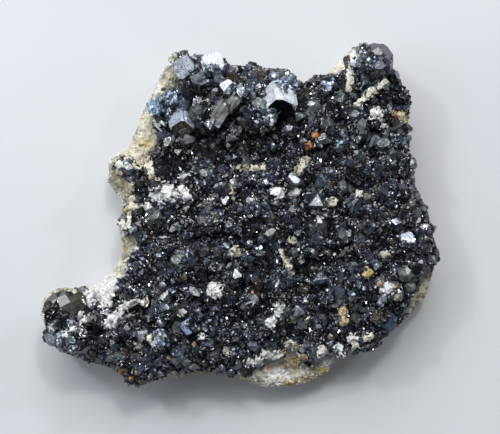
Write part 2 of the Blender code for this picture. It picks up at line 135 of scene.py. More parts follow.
def ramp(nodes, links, source, stops):
    """Colours along a value: stops are (position, colour)."""
    made = nodes.new("ShaderNodeValToRGB")
    elements = made.color_ramp.elements
    while len(elements) < len(stops):
        elements.new(0.5)
    for element, (position, colour) in zip(elements, stops):
        element.position = position
        element.color = (*colour, 1)
    links.new(source, made.inputs["Fac"])
    return made.outputs["Color"]


def spread_value(nodes, links, source, low, high):
    """The middle of a noise spread from low to high, for a roughness."""
    made = nodes.new("ShaderNodeMapRange")
    made.inputs["From Min"].default_value = NOISE_MIDDLE[0]
    made.inputs["From Max"].default_value = NOISE_MIDDLE[1]
    made.inputs["To Min"].default_value = low
    made.inputs["To Max"].default_value = high
    links.new(source, made.inputs["Value"])
    return made.outputs["Result"]


def bump(nodes, links, shader, height, distance, strength=1.0):
    """Fine relief from a pattern's height, over a distance in metres."""
    made = nodes.new("ShaderNodeBump")
    made.inputs["Distance"].default_value = distance
    made.inputs["Strength"].default_value = strength
    links.new(height, made.inputs["Height"])
    links.new(made.outputs["Normal"], shader.inputs["Normal"])


def mixed(nodes, links, kind, share, first, second):
    """Two colours mixed; each value is a number, a colour or a socket.

    A Mix node's colours go into its sockets 6 and 7 and come out of its socket 2.
    """
    made = nodes.new("ShaderNodeMix")
    made.data_type = "RGBA"
    made.blend_type = kind
    sockets = [made.inputs[0], made.inputs[6], made.inputs[7]]
    for socket, value in zip(sockets, (share, first, second)):
        if isinstance(value, float):
            socket.default_value = value
        elif isinstance(value, tuple):
            socket.default_value = (*value, 1)
        else:
            links.new(value, socket)
    return made.outputs[2]


def nearness(places, spots):
    """1 in the middle of the round spots, ((x, y), reach), and 0 well outside them."""
    total = np.zeros(len(places))
    for spot, reach in spots:
        away = np.linalg.norm(places[:, :2] - np.array(spot) * MM, axis=1) / (reach * MM)
        total = np.maximum(total, np.exp(-away ** 4))
    return total


def marked(obj):
    """Notes on each corner how far the rock is bleached, golden or brown there; the bleaching also
    carries painted light at the foot.
    """
    corners = np.empty(len(obj.data.vertices) * 3)
    obj.data.vertices.foreach_get("co", corners)
    for name, spots in ROCK_MARKS.items():
        amounts = obj.data.attributes.new(name, "FLOAT", "POINT")
        amounts.data.foreach_set("value", nearness(corners.reshape(-1, 3), spots))


def mark_share(nodes, links, name, edge):
    """How strongly a mark shows, with its edge broken up by a noise."""
    mark = nodes.new("ShaderNodeAttribute")
    mark.attribute_name = name
    patchy = ramp(nodes, links, edge, [(0.40, (0.1, 0.1, 0.1)), (0.54, (1, 1, 1))])
    made = nodes.new("ShaderNodeMath")
    made.operation = "MULTIPLY"
    links.new(mark.outputs["Fac"], made.inputs[0])
    links.new(patchy, made.inputs[1])
    return made.outputs["Value"]


def rock_material():
    """Cream carbonate: mottled, with white and grey quartz, ochre stains and dark specks."""
    made, nodes, links, shader = new_finish("pale rock")
    broad = noise_node(nodes, 110, 4)
    fine = noise_node(nodes, 1100, 5, 0.7)
    stain = noise_node(nodes, 190, 5)
    object_space(nodes, links, broad, fine, stain)
    colour = ramp(nodes, links, broad.outputs["Fac"], [
        (0.34, (0.22, 0.20, 0.16)), (0.42, (0.50, 0.47, 0.36)), (0.50, (0.68, 0.64, 0.50)),
        (0.60, (0.76, 0.75, 0.70)),
    ])
    edge = stain.outputs["Fac"]
    # The near-white of the bleached spots is real whitening, and at the foot also painted light against
    # the shade of its slope.
    for name, tint in (
        ("bleached_and_painted_light", (0.86, 0.85, 0.83)), ("golden", (0.62, 0.42, 0.13)), ("brown", (0.20, 0.13, 0.06)),
    ):
        share = mark_share(nodes, links, name, edge)
        colour = mixed(nodes, links, "MIX", share, colour, tint)
    specks = ramp(nodes, links, fine.outputs["Fac"], [
        (0.36, (0.40, 0.37, 0.31)), (0.46, (0.85, 0.83, 0.78)), (0.56, (1.0, 1.0, 1.0)),
    ])
    colour = mixed(nodes, links, "MULTIPLY", 0.85, colour, specks)
    ochre = ramp(nodes, links, edge, [(0.58, (0, 0, 0)), (0.66, (0.6, 0.6, 0.6))])
    colour = mixed(nodes, links, "MIX", ochre, colour, (0.52, 0.40, 0.18))
    links.new(colour, shader.inputs["Base Color"])
    shader.inputs["Roughness"].default_value = 0.8
    bump(nodes, links, shader, fine.outputs["Fac"], 0.25 * MM, 0.8)
    return made


def roughen(obj, knobs, grain):
    """Adds knobs and grains, each (size, height); the resting face stays flat."""
    normals = [vertex.normal.copy() for vertex in obj.data.vertices]
    for vertex, normal in zip(obj.data.vertices, normals):
        if vertex.co.z < RESTING_BAND:
            continue
        nearest, _ = noise.voronoi(vertex.co / knobs[0])
        out = knobs[1] * (KNOB_LEVEL - min(nearest[0], 1.0))
        out += grain[1] * noise.fractal(vertex.co / grain[0], 1.0, 2.0, 2)
        rise = min((vertex.co.z - RESTING_BAND) / FULL_RELIEF, 1.0)
        vertex.co += normal * out * rise


def dressed(piece):
    """Lets a piece move with the specimen."""
    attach(piece, "root")


rock = node_copy("matrix", "rock")
recast(rock, ROCK_NET)
roughen(rock, ROCK_KNOBS, ROCK_GRAIN)
rock_look = rock_material()
rock.data.materials.clear()
rock.data.materials.append(rock_look)
rock.data.shade_smooth()
marked(rock)
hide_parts("matrix")
dressed(rock)


# The rock's grains: small blocky crystals of carbonate and quartz, loosely grown together, that
# stand out of the rock wherever the dark crust leaves it bare.
GRAIN_TRIES = 16000
GRAIN_FACING = -0.2
GRAIN_LOWEST = 1.5 * MM
GRAIN_HEADROOM = 2.5 * MM
GRAIN_RADII = (0.22, 0.55)
SKIN_CLEARANCE = 0.05
# The directions in which each kind of crystal face looks.
ISOMETRIC = {
    "tetra": [(1, 1, 1), (1, -1, -1), (-1, 1, -1), (-1, -1, 1)],
    "anti": [(-1, -1, -1), (-1, 1, 1), (1, -1, 1), (1, 1, -1)],
    "cube": [(1, 0, 0), (-1, 0, 0), (0, 1, 0), (0, -1, 0), (0, 0, 1), (0, 0, -1)],
    "edge": [
        (1, 1, 0), (1, -1, 0), (-1, 1, 0), (-1, -1, 0), (1, 0, 1), (1, 0, -1),
        (-1, 0, 1), (-1, 0, -1), (0, 1, 1), (0, 1, -1), (0, -1, 1), (0, -1, -1),
    ],
}
CUT_BLANK = 4.0


def crystal_form(chance, reach, unevenness):
    """Corners and faces of a crystal; reach says how far out each kind of face lies."""
    shape = bmesh.new()
    bmesh.ops.create_cube(shape, size=CUT_BLANK)
    for kind, distance in reach.items():
        for direction in ISOMETRIC[kind]:
            normal = Vector(direction).normalized()
            away = distance * (1 + unevenness * chance.uniform(-1, 1))
            cut = bmesh.ops.bisect_plane(
                shape,
                geom=shape.verts[:] + shape.edges[:] + shape.faces[:],
                plane_co=normal * away,
                plane_no=normal,
                clear_outer=True,
            )
            rim = [item for item in cut["geom_cut"] if isinstance(item, bmesh.types.BMEdge)]
            if rim:
                bmesh.ops.contextual_create(shape, geom=rim)
    bmesh.ops.recalc_face_normals(shape, faces=shape.faces)
    shape.verts.index_update()
    corners = np.array([vertex.co for vertex in shape.verts])
    faces = [tuple(vertex.index for vertex in face.verts) for face in shape.faces]
    shape.free()
    return corners, faces


def crystal_forms(seed, unevenness, copies, *reaches):
    """A set of different crystal forms to choose from."""
    chance = np.random.default_rng(seed)
    return [crystal_form(chance, reach, unevenness) for reach in reaches for _ in range(copies)]


def mesh_arrays(*objects):
    """Corners and triangles of objects, as one pair of arrays."""
    all_corners, all_triangles = [], []
    used = 0
    for obj in objects:
        mesh = obj.data
        mesh.calc_loop_triangles()
        corners = np.empty(len(mesh.vertices) * 3)
        mesh.vertices.foreach_get("co", corners)
        triangles = np.empty(len(mesh.loop_triangles) * 3, np.int64)
        mesh.loop_triangles.foreach_get("vertices", triangles)
        all_corners.append(corners.reshape(-1, 3))
        all_triangles.append(triangles.reshape(-1, 3) + used)
        used += len(mesh.vertices)
    return np.concatenate(all_corners), np.concatenate(all_triangles)


def tree_of(*objects):
    """The objects' skins, ready for finding what a line meets."""
    corners, triangles = mesh_arrays(*objects)
    return BVHTree.FromPolygons(corners.tolist(), triangles.tolist())


def skin_samples(obj, count, chance, lowest):
    """Places on the skin with their normals, spread evenly over what faces no lower than lowest."""
    corners, triangles = mesh_arrays(obj)
    a, b, c = (corners[triangles[:, i]] for i in range(3))
    cross = np.cross(b - a, c - a)
    area = np.linalg.norm(cross, axis=1)
    normals = cross / np.maximum(area, 1e-15)[:, None]
    area = np.where(normals[:, 2] > lowest, area, 0)
    picked = chance.choice(len(area), count, p=area / area.sum())
    u, v = chance.random(count), chance.random(count)
    flip = u + v > 1
    u[flip], v[flip] = 1 - u[flip], 1 - v[flip]
    places = a[picked] + u[:, None] * (b - a)[picked] + v[:, None] * (c - a)[picked]
    return places, normals[picked]


def is_open(tree, place, normal, room):
    """Whether a line outwards from the skin meets nothing within the room."""
    start = Vector(place) + Vector(normal) * SKIN_CLEARANCE * MM
    return tree.ray_cast(start, Vector(normal), room)[0] is None


def turn_matrices(count, chance):
    """Turns in all directions, evenly spread."""
    q = chance.normal(size=(count, 4))
    w, x, y, z = (q / np.linalg.norm(q, axis=1)[:, None]).T
    return np.stack([
        np.stack([1 - 2 * (y * y + z * z), 2 * (x * y - z * w), 2 * (x * z + y * w)], 1),
        np.stack([2 * (x * y + z * w), 1 - 2 * (x * x + z * z), 2 * (y * z - x * w)], 1),
        np.stack([2 * (x * z - y * w), 2 * (y * z + x * w), 1 - 2 * (x * x + y * y)], 1),
    ], 1)


def joined(name, bodies, looks):
    """One mesh of many closed bodies: each is (corners, faces, number of its look)."""
    points, faces, slots = [], [], []
    used = 0
    for corners, sides, look in bodies:
        points.append(corners)
        faces += [tuple(corner + used for corner in side) for side in sides]
        slots += [look] * len(sides)
        used += len(corners)
    mesh = bpy.data.meshes.new(name)
    mesh.from_pydata(np.concatenate(points).tolist(), [], faces)
    for look in looks:
        mesh.materials.append(look)
    mesh.polygons.foreach_set("material_index", slots)
    mesh.update()
    obj = bpy.data.objects.new(name, mesh)
    bpy.context.scene.collection.objects.link(obj)
    return obj


def inside_box(corners):
    """The corners of one crystal, moved in where it would reach out of the specimen's box."""
    in_from_low = np.maximum(np.array(cad_low) - corners.min(0), 0)
    in_from_high = np.maximum(corners.max(0) - np.array(cad_high), 0)
    return corners + in_from_low - in_from_high


def grown(name, forms, places, radii, looks, chance, stretch=0.2, plain=None):
    """One mesh of turned, unevenly stretched crystals; looks are (material, share).

    The crystals that plain marks all take the first look.
    """
    turns = turn_matrices(len(places), chance)
    stretches = 1 + stretch * chance.uniform(-1, 1, (len(places), 3))
    kinds = chance.integers(0, len(forms), len(places))
    shares = np.array([share for _, share in looks])
    finish = chance.choice(len(looks), len(places), p=shares / shares.sum())
    if plain is not None:
        finish[plain] = 0
    bodies = []
    for place, radius, turn, pull, kind, look in zip(
        places, radii, turns, stretches, kinds, finish
    ):
        corners, sides = forms[kind]
        bodies.append((inside_box((corners * radius * pull) @ turn.T + place), sides, look))
    return joined(name, bodies, [look for look, _ in looks])


def grain_material(name, dark, light, gloss):
    """A dull or glassy grain whose shade changes from grain to grain."""
    made, nodes, links, shader = new_finish(name)
    patches = noise_node(nodes, 800, 3)
    object_space(nodes, links, patches)
    base = ramp(nodes, links, patches.outputs["Fac"], [(0.38, dark), (0.62, light)])
    links.new(base, shader.inputs["Base Color"])
    rough = spread_value(nodes, links, patches.outputs["Fac"], gloss, gloss + 0.25)
    links.new(rough, shader.inputs["Roughness"])
    bump(nodes, links, shader, patches.outputs["Fac"], 0.06 * MM, 0.5)
    return made


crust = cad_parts["sphalerite_crust"]
crust_tree = tree_of(crust)
block_forms = crystal_forms(
    21, 0.16, 5, {"cube": 0.66, "tetra": 0.86}, {"cube": 0.70, "edge": 0.88},
)
white_look = grain_material("white grains", (0.42, 0.42, 0.41), (0.80, 0.79, 0.76), 0.35)
chance = np.random.default_rng(2)
places, normals = skin_samples(rock, GRAIN_TRIES, chance, GRAIN_FACING)
kept = np.array([
    place[2] > GRAIN_LOWEST and is_open(crust_tree, place, normal, GRAIN_HEADROOM)
    for place, normal in zip(places, normals)
])
places = places[kept]
radii = chance.uniform(*GRAIN_RADII, len(places)) * MM
rock_grains = grown(
    "rock_grains", block_forms, places, radii, [(rock_look, 0.85), (white_look, 0.15)], chance
)
marked(rock_grains)
dressed(rock_grains)


# The sphalerite crust: iron-rich zinc sulphide, near black, that grew out from the rock as
# crystals locked into each other. Their flat faces have a lustre between resin and metal.
# Each tint is its dark and light colour, least roughness, share of metal, and refraction.
SPHALERITE_TINTS = {
    "black": ((0.002, 0.002, 0.003), (0.010, 0.011, 0.016), 0.05, 0.0, 1.85),
    "blue": ((0.008, 0.012, 0.020), (0.055, 0.075, 0.115), 0.16, 0.2, 2.2),
    "brown": ((0.008, 0.005, 0.003), (0.070, 0.048, 0.028), 0.12, 0.0, 2.2),
    "violet": ((0.006, 0.005, 0.012), (0.055, 0.047, 0.085), 0.12, 0.1, 2.2),
    "green": ((0.025, 0.030, 0.027), (0.14, 0.16, 0.145), 0.24, 0.3, 2.4),
    "grey": ((0.05, 0.055, 0.06), (0.20, 0.21, 0.22), 0.26, 0.5, 2.4),
    "silver": ((0.14, 0.15, 0.17), (0.44, 0.48, 0.54), 0.28, 0.8, 2.4),
}
STEP_SCALE = 2100
SMOOTH_TILT = 0.22
STEPPED_TILT = 0.85


def stepped_height(nodes, links, scale):
    """The height of tiny flat steps, each of which leans its own way."""
    place = nodes.new("ShaderNodeTexCoord")
    cells = nodes.new("ShaderNodeTexVoronoi")
    cells.inputs["Scale"].default_value = scale
    links.new(place.outputs["Object"], cells.inputs["Vector"])
    offset, lean, height = (nodes.new("ShaderNodeVectorMath") for _ in range(3))
    offset.operation = lean.operation = "SUBTRACT"
    height.operation = "DOT_PRODUCT"
    links.new(place.outputs["Object"], offset.inputs[0])
    links.new(cells.outputs["Position"], offset.inputs[1])
    links.new(cells.outputs["Color"], lean.inputs[0])
    lean.inputs[1].default_value = (0.5, 0.5, 0.5)
    links.new(offset.outputs["Vector"], height.inputs[0])
    links.new(lean.outputs["Vector"], height.inputs[1])
    return height.outputs["Value"]


def sphalerite_material(name, tint, tilt):
    """Dark crystal faces with growth steps, whose shade changes from place to place."""
    dark, light, gloss, metal, index = tint
    made, nodes, links, shader = new_finish(name)
    patches = noise_node(nodes, 450, 4)
    pits = noise_node(nodes, 2600, 3)
    object_space(nodes, links, patches, pits)
    base = ramp(nodes, links, patches.outputs["Fac"], [(0.38, dark), (0.64, light)])
    links.new(base, shader.inputs["Base Color"])
    rough = spread_value(nodes, links, pits.outputs["Fac"], gloss, gloss + 0.18)
    links.new(rough, shader.inputs["Roughness"])
    shader.inputs["IOR"].default_value = index
    shader.inputs["Metallic"].default_value = metal
    bump(nodes, links, shader, stepped_height(nodes, links, STEP_SCALE), tilt)
    return made


def sphalerite_looks(kind, tilt):
    """One material for each tint, with steps that lean up to the tilt."""
    return {
        name: sphalerite_material(f"{kind} {name} sphalerite", tint, tilt)
        for name, tint in SPHALERITE_TINTS.items()
    }


smooth_looks = sphalerite_looks("smooth", SMOOTH_TILT)
stepped_looks = sphalerite_looks("stepped", STEPPED_TILT)
crust.data.materials[0] = stepped_looks["black"]


# The single sphalerite crystals: mostly 2 to 5 mm across, with two of 10 to 13 mm, grown out of
# the rest of the crust. They are blunt tetrahedra with many small faces, black or with a cast of
# another colour, and a few are flat blades of 4 to 10 mm, built up of thin layers.
SUNK = 0.15
ROOM_FACTOR = 1.35
# Each crystal is ((x, y), radius), and each blade is ((x, y), length, width, angle).
LARGE_CRYSTALS = {
    "black": [
        ((-28.7, 5.4), 2.5), ((36.4, -8.0), 2.0), ((-10.5, -15.8), 1.9), ((-31.0, -30.5), 2.2),
        ((28.5, 38.0), 2.2), ((5.6, -21.8), 2.0), ((16.5, -12.0), 2.1), ((-25.5, -20.5), 2.0),
        ((-37.8, -32.5), 2.2), ((-31.4, -1.4), 2.4), ((30.8, 33.4), 2.0), ((39.0, 31.2), 2.6),
        ((-1.6, 39.6), 2.1),
    ],
    "green": [
        ((-43.2, -20.8), 1.9), ((-9.9, -9.6), 1.9), ((44.6, -15.4), 2.3), ((45.6, -18.9), 2.0),
        ((-46.5, -28.5), 2.0), ((27.1, 32.6), 1.5), ((-24.9, -27.8), 1.6), ((33.8, 33.0), 1.9),
        ((46.0, 24.6), 1.3), ((45.6, 21.6), 1.2), ((46.8, 14.5), 1.5), ((46.4, 10.5), 1.4),
        ((48.0, 5.5), 1.3), ((53.0, -9.5), 1.2), ((19.6, 30.4), 2.2), ((34.4, 5.0), 1.8),
    ],
    "brown": [
        ((34.7, -15.3), 1.7), ((38.5, -10.1), 1.5), ((4.5, 35.0), 1.4), ((-7.3, 34.0), 1.5),
        ((-2.0, 37.5), 1.9), ((24.5, -33.0), 1.5), ((17.5, 33.5), 1.8), ((-10.4, 24.2), 1.8),
        ((5.0, 38.6), 2.2), ((-23.4, 10.0), 1.9),
    ],
    "blue": [
        ((41.5, -29.0), 2.1), ((32.8, -20.7), 1.2), ((2.9, -34.6), 1.7), ((4.2, -2.2), 1.3),
        ((-15.2, 30.8), 2.4), ((-20.6, -24.6), 1.8), ((12.5, -26.0), 1.6), ((-50.6, -32.0), 2.2),
        ((-30.8, 13.6), 2.6), ((41.2, 38.6), 2.2),
    ],
    "violet": [
        ((50.0, -3.5), 2.0), ((50.6, -0.6), 1.4), ((48.6, -12.6), 1.8), ((22.0, 17.5), 2.0),
        ((-16.2, 33.8), 2.2), ((37.8, 40.6), 2.6), ((6.8, 9.6), 1.6), ((-3.8, -3.2), 1.7),
    ],
    "grey": [
        ((5.2, 29.8), 2.4), ((-18.5, 33.4), 2.0), ((-9.0, 32.6), 1.8), ((-16.4, 35.2), 1.9),
        ((20.3, -0.8), 1.5), ((30.5, 28.0), 1.6), ((-14.5, 21.0), 1.8), ((15.2, 27.8), 2.2),
        ((27.6, 8.4), 1.8), ((-8.6, 8.2), 1.8),
    ],
    "silver": [
        ((27.9, 22.5), 1.5), ((26.5, 19.0), 1.4), ((34.4, 21.7), 1.5), ((12.7, 23.9), 1.4),
        ((1.5, 36.4), 1.5), ((2.0, 33.9), 1.4), ((33.1, 43.4), 1.6), ((32.3, 40.0), 1.6),
        ((-11.5, 37.0), 2.2), ((-21.6, -28.4), 1.8), ((14.5, 36.4), 1.7), ((-15.6, 36.4), 1.6),
        ((-41.5, -24.4), 1.4), ((8.6, 37.8), 2.0), ((45.1, -6.9), 1.0), ((7.6, 26.2), 2.3),
        ((4.4, 25.4), 1.6), ((-11.4, 28.8), 1.5), ((-6.0, 37.4), 1.8), ((12.0, 36.8), 1.8),
    ],
}
BLADES = [
    ((-5.6, 28.2), 10.0, 3.6, 55), ((-2.0, 31.2), 8.0, 2.8, 55), ((-31.5, 13.8), 4.6, 2.2, 30),
    ((-40.7, -27.8), 4.2, 2.4, 70), ((-22.6, 25.6), 5.4, 2.4, -40), ((5.8, 28.6), 7.0, 2.2, -70),
]
LAYERS = 6
LAYER_LENGTHS = (0.75, 1.05)
LAYER_HEIGHTS = (0.5, 0.62)
LAYER_SHIFT = 0.12
LEAN_ALONG = 0.25
LEAN_ACROSS = 0.10
# The two largest, each ((x, y), half sizes), and how deep their middles lie in the crust.
LOBE_CRYSTAL = ((-48.2, -24.9), (6.4, 5.5, 5.0))
LOBE_DEPTH = 4.6
PEAK_CRYSTAL = ((36.4, 41.8), (4.9, 5.2, 4.6))
PEAK_DEPTH = 4.2
GIANT_FACES = {"cube": 0.90, "edge": 0.93, "tetra": 0.90, "anti": 0.92}
GIANT_SEED = 12
GIANT_ROOM = 1.4
SKY = 60 * MM
large_forms = crystal_forms(
    17, 0.12, 4,
    {"cube": 0.80, "tetra": 0.78, "anti": 0.92, "edge": 0.94}, {"cube": 0.74, "tetra": 0.80},
    {"edge": 0.84, "tetra": 0.80, "cube": 0.88},
)
blade_look = sphalerite_material(
    "grey blades", ((0.12, 0.12, 0.11), (0.38, 0.39, 0.37), 0.30, 0.4, 2.4), 0.35
)
glassy_look = sphalerite_material(
    "glassy sphalerite", ((0.012, 0.013, 0.012), (0.080, 0.080, 0.066), 0.05, 0.0, 1.9), 0.10
)


def on_top(tree, x, y):
    """The uppermost point of the specimen's front at a place."""
    return tree.ray_cast(Vector((x, y, SKY)), Vector((0, 0, -1)))[0]


def blade(chance, spot, length, width, angle):
    """Thin layers side by side, each a little longer, shorter, higher or lower than the next."""
    middle = on_top(crust_tree, spot[0] * MM, spot[1] * MM)
    turn = math.radians(angle)
    along = np.array([math.cos(turn), math.sin(turn), LEAN_ALONG])
    across = np.array([-math.sin(turn), math.cos(turn), LEAN_ACROSS])
    up = np.cross(along, across)
    layers = []
    for layer in range(LAYERS):
        corners, sides = block_forms[chance.integers(len(block_forms))]
        reach = length / 2 * chance.uniform(*LAYER_LENGTHS)
        shape = corners * np.array([reach, width / LAYERS, width * chance.uniform(*LAYER_HEIGHTS)])
        shape[:, 0] += length * chance.uniform(-LAYER_SHIFT, LAYER_SHIFT)
        shape[:, 1] += width * ((layer + 0.5) / LAYERS - 0.5)
        layers.append((inside_box(shape @ np.array([along, across, up]) * MM + middle), sides, 0))
    return layers


def giant(name, crystal, depth, look):
    """One of the two largest crystals, blunt and almost round, grown over the crust's own."""
    (x, y), reach = crystal
    chance = np.random.default_rng(GIANT_SEED)
    corners, sides = crystal_form(chance, GIANT_FACES, 0.05)
    middle = np.array(on_top(crust_tree, x * MM, y * MM)) - np.array([0, 0, depth * MM])
    turn = turn_matrices(1, chance)[0]
    shape = (corners @ turn.T) * np.array(reach) * MM + middle
    piece = joined(name, [(inside_box(shape), sides, 0)], [look])
    dressed(piece)
    return piece, (*middle, GIANT_ROOM * max(reach) * MM)


chance = np.random.default_rng(23)
taken, large = [], []
for look, crystals in LARGE_CRYSTALS.items():
    places = np.array([on_top(crust_tree, x * MM, y * MM) for (x, y), _ in crystals])
    radii = np.array([radius for _, radius in crystals]) * MM
    places[:, 2] -= SUNK * radii
    taken.append(np.column_stack([places, radii * ROOM_FACTOR]))
    looks = [(smooth_looks[look], 1)]
    piece = grown("large_" + look, large_forms, places, radii, looks, chance, 0.15)
    dressed(piece)
    large.append(piece)
layers = [layer for entry in BLADES for layer in blade(chance, *entry)]
blades = joined("blades", layers, [blade_look])
dressed(blades)
lobe_crystal, lobe_room = giant("lobe_crystal", LOBE_CRYSTAL, LOBE_DEPTH, glassy_look)
peak_crystal, peak_room = giant("peak_crystal", PEAK_CRYSTAL, PEAK_DEPTH, smooth_looks["violet"])
taken = np.concatenate(taken + [[lobe_room], [peak_room]])
large += [blades, lobe_crystal, peak_crystal]


# The druse: sphalerite crystals of about 0.7 to 4 mm, grown all over the crust and between its
# larger crystals. Each is a tetrahedron whose corners and edges other faces cut off unevenly.
sphalerite_forms = crystal_forms(
    3, 0.14, 4,
    {"tetra": 0.62, "anti": 0.95, "cube": 0.95},
    {"tetra": 0.70, "anti": 0.85, "edge": 0.98},
    {"tetra": 0.66, "cube": 0.80},
    {"edge": 0.80, "tetra": 0.82},
    {"cube": 0.70, "tetra": 0.86},
)
# Round spots with larger crystals, and spots that lie deep, where crystals take a near-black dull
# finish as painted shade, each ((x, y), reach).
COARSE_PLACES = [
    ((-14, 34), 15), ((8, 33), 11), ((-48, -27), 9), ((-21, -30), 8), ((35, 40), 8), ((-29, 9), 5),
]
PAINTED_SHADE_SPOTS = [
    ((-13.5, 35.4), 2.2), ((10.5, 27.6), 2.4), ((-9.0, 20.0), 4.6), ((-3.0, 20.5), 4.6),
    ((3.5, 20.5), 4.6), ((-22.7, 12.0), 3.8), ((37.4, 32.4), 2.6), ((16.5, -13.4), 3.2),
    ((-18.0, 17.0), 3.6), ((9.5, 18.5), 3.0), ((-38.5, -31.0), 3.0), ((5.0, -10.0), 3.0),
    ((-28.0, -26.0), 2.4), ((30.0, 10.0), 3.0), ((-4.0, -27.0), 3.0),
]
COARSE_ELSEWHERE = 0.22
PAINTED_SHADE_CHANCE = 0.85
RIM_RADIUS = 0.75 * MM
RIM_SINK = -0.5
RIM_POINTS = 6
DRUSE_FACING = -0.3
STEEP_WALL = 0.45
DRUSE_REACH = 1.5
ROCK_ROOM = 1.0 * MM
CRUST_ROOM = 0.5 * MM
rock_tree = tree_of(rock)
body_tree = tree_of(rock, crust)


def past_outline(places, radii):
    """Which crystals would stand out past the specimen's outline, seen from the front."""
    turns = np.linspace(0, 2 * math.pi, RIM_POINTS, endpoint=False)
    found = []
    for (x, y, _), radius in zip(places, radii):
        around = (
            on_top(body_tree, x + radius * math.cos(turn), y + radius * math.sin(turn))
            for turn in turns
        )
        found.append(any(point is None for point in around))
    return np.array(found)


def druse_places(count, seed):
    """Places on the crust with open air before them, and none that would hide the bare rock."""
    chance = np.random.default_rng(seed)
    places, normals = skin_samples(crust, count, chance, DRUSE_FACING)
    down = Vector((0, 0, -1))
    kept = []
    for place, normal in zip(places, normals):
        outside = Vector(place) + Vector(normal) * DRUSE_REACH * MM
        below = body_tree.ray_cast(outside, down)[0]
        over_rock = (
            normal[2] < STEEP_WALL and below is not None
            and crust_tree.ray_cast(outside, down)[0] is None
        )
        kept.append(
            not over_rock
            and is_open(rock_tree, place, normal, ROCK_ROOM)
            and is_open(crust_tree, place, normal, CRUST_ROOM)
        )
    kept = np.array(kept)
    return places[kept], normals[kept], chance


def thinned(places, radii, closeness, taken):
    """Which places keep their distance from each other and from those already taken."""
    spots = np.empty((len(places) + len(taken), 4))
    spots[:len(taken)] = taken
    used = len(taken)
    kept = []
    for index in np.argsort(-radii):
        away = np.linalg.norm(spots[:used, :3] - places[index], axis=1)
        if (away < closeness * (spots[:used, 3] + radii[index])).any():
            continue
        spots[used, :3] = places[index]
        spots[used, 3] = radii[index]
        used += 1
        kept.append(index)
    return np.array(kept), spots[:used]


# Painted shade: a near-black finish with little reflection for the crystals in the deep spots, standing
# in for the shade there.
painted_shade_look = sphalerite_material(
    "shadowed sphalerite", ((0.002, 0.002, 0.003), (0.007, 0.007, 0.010), 0.20, 0.0, 1.6), 0.5
)
FINE_SHARES = {
    "black": 0.52, "blue": 0.21, "brown": 0.07, "violet": 0.08, "green": 0.04, "grey": 0.03,
    "silver": 0.05,
}
COARSE_SHARES = {
    "black": 0.30, "blue": 0.22, "brown": 0.06, "violet": 0.10, "green": 0.12, "grey": 0.12,
    "silver": 0.08,
}
# The galena crystals hold room of their own among the druse.
GALENA_NODES = sorted(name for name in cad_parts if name.startswith("galena_"))
for name in GALENA_NODES:
    low, high = (np.array(corner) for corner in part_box(name))
    taken = np.concatenate([taken, [(*(low + high) / 2, (high - low).mean() / 2)]])
# Each row gives the tries, the radii in mm and how much coarse places add to them, how close
# the crystals grow, how far they stand out as a share of their radius, and their looks.
druse = []
for name, tries, sizes, growth, closeness, rise, looks, shares, seed in (
    ("druse_coarse", 3600, (1.1, 2.0), 0.25, 0.60, (-0.5, 0.0), smooth_looks, COARSE_SHARES, 5),
    ("druse_medium", 9000, (0.65, 1.2), 0.3, 0.55, (-0.3, 0.4), stepped_looks, FINE_SHARES, 6),
    ("druse_fine", 28000, (0.34, 0.7), 0.3, 0.60, (-0.1, 0.6), stepped_looks, FINE_SHARES, 7),
):
    places, normals, chance = druse_places(tries, seed)
    share = nearness(places, COARSE_PLACES)
    radii = chance.uniform(sizes[0], sizes[1], len(places)) * (1 + growth * share) * MM
    if name == "druse_coarse":
        wanted = chance.random(len(places)) < COARSE_ELSEWHERE + (1 - COARSE_ELSEWHERE) * share
        places, normals, radii = places[wanted], normals[wanted], radii[wanted]
    rim = past_outline(places, radii)
    radii = np.where(rim, np.minimum(radii, RIM_RADIUS), radii)
    kept, taken = thinned(places, radii, closeness, taken)
    places, normals, radii, rim = places[kept], normals[kept], radii[kept], rim[kept]
    rises = np.where(rim, RIM_SINK, chance.uniform(rise[0], rise[1], len(radii)))
    places += normals * (radii * rises)[:, None]
    # Painted shade: by chance, crystals near the deep spots take the dark dull finish.
    dark = nearness(places, PAINTED_SHADE_SPOTS) * PAINTED_SHADE_CHANCE > chance.random(len(places))
    mix = [(painted_shade_look, 0)] + [(looks[tint], shares[tint]) for tint in SPHALERITE_TINTS]
    piece = grown(name, sphalerite_forms, places, radii, mix, chance, 0.3, dark)
    dressed(piece)
    druse.append(piece)


# The single galena crystals: lead sulphide cubes of 4 to 10 mm, with their corners cut off. Each
# grew in the crust as a few blocks side by side that lie almost parallel, so low steps and fine
# growth lines break its lead grey faces. On two of them the faces turned away from the top lamps
# carry painted shade, black on one and brown on the other, and the rest a pale painted sheen.
SQUARE_ENOUGH = 0.05
# Each finish is its dark and light colour, least roughness, and share of metal if under 1.
GALENA_FINISHES = {
    "bright galena": ((0.28, 0.30, 0.34), (0.54, 0.57, 0.62), 0.34),
    "blue galena": ((0.15, 0.20, 0.27), (0.34, 0.42, 0.52), 0.34),
    "dull galena": ((0.12, 0.13, 0.14), (0.27, 0.28, 0.30), 0.36),
    # Painted sheen: pale, partly matt greys that stand in for the bright reflections of lead grey
    # faces.
    "painted sheen galena": ((0.62, 0.66, 0.71), (0.92, 0.94, 0.96), 0.30, 0.25),
    "painted sheen blue galena": ((0.34, 0.40, 0.48), (0.62, 0.69, 0.77), 0.32, 0.25),
    "deep blue galena": ((0.05, 0.07, 0.11), (0.15, 0.19, 0.27), 0.34),
    # Painted shade: dark finishes for the galena faces turned away from the top lamps.
    "black painted shade": ((0.010, 0.009, 0.014), (0.040, 0.036, 0.052), 0.30),
    "brown painted shade": ((0.06, 0.05, 0.04), (0.46, 0.40, 0.30), 0.26),
}
